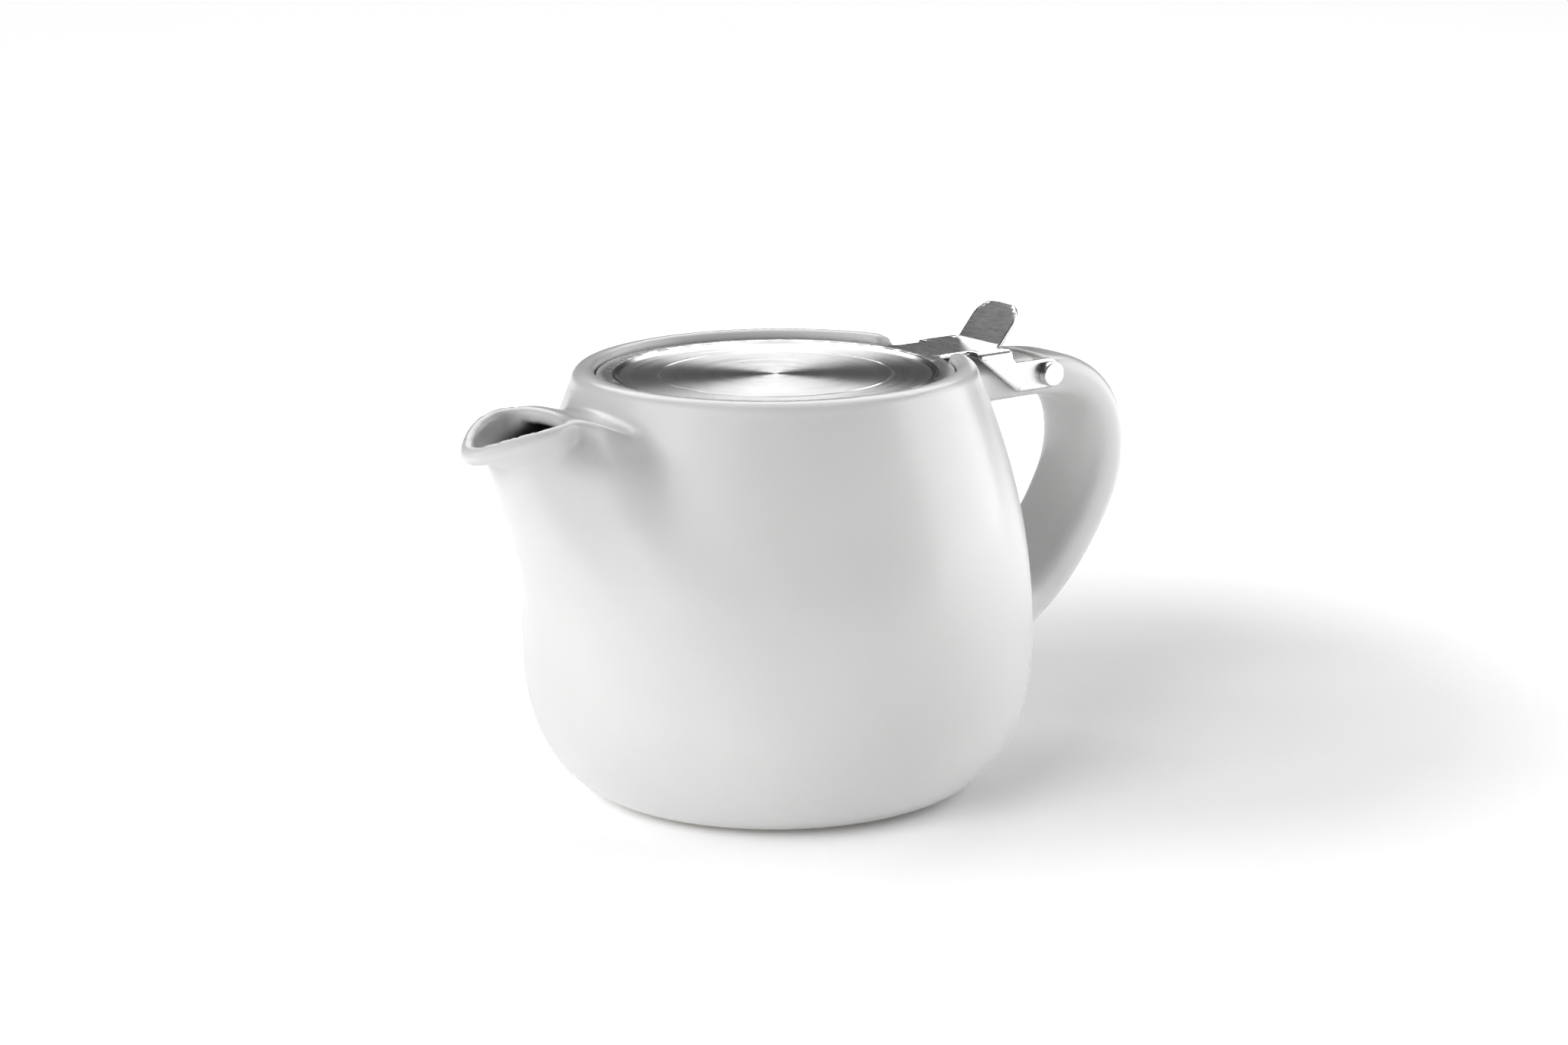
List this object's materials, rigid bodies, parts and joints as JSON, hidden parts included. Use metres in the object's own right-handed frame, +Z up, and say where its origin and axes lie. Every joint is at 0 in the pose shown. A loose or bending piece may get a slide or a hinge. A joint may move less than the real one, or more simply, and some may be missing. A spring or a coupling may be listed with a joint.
{
  "type": "teapot",
  "caption": "Small round white ceramic teapot with a conical spout, a strap handle, a hinged brushed steel lid with a thumb tab, and a hanging strainer basket.",
  "frame": {"origin": "centre of the foot on the table", "axes": "+Z up, +X towards the handle, -X towards the spout; the hinge pin runs along Y"},
  "size_m": [0.1762, 0.115, 0.1037],
  "materials": {
    "glazed_ceramic": "white glaze with a soft satin gloss",
    "bush_nylon": "natural nylon",
    "lid_steel": "fine straight brushing, softened edges",
    "lid_disc_steel": "concentric spun brushing",
    "inner_steel": "drawn satin steel",
    "pin_steel": "turned satin steel",
    "basket_steel": "etched strainer sheet"
  },
  "bodies": {
    "pot": {"pot_base": "glazed_ceramic", "pot_body": "glazed_ceramic", "pot_rim": "glazed_ceramic", "spout": "glazed_ceramic", "handle": "glazed_ceramic", "hinge_bushes": "bush_nylon"},
    "lid": {"lid_plate": "lid_steel", "lid_disc": "lid_disc_steel", "lid_skirt": "inner_steel", "hinge_pin": "pin_steel", "pin_cap": "pin_steel"},
    "basket": {"basket_rim": "inner_steel", "basket_wall": "basket_steel", "basket_base": "basket_steel"}
  },
  "joints": [
    {"name": "lid_hinge", "type": "hinge", "parent": "pot", "child": "lid", "pos_m": [0.0685, 0, 0.0878], "axis": [0, 1, 0], "range_deg": [0, 100]},
    {"name": "basket_turn", "type": "hinge", "parent": "pot", "child": "basket", "pos_m": [0, 0, 0.0927], "axis": [0, 0, 1], "continuous": true}
  ]
}
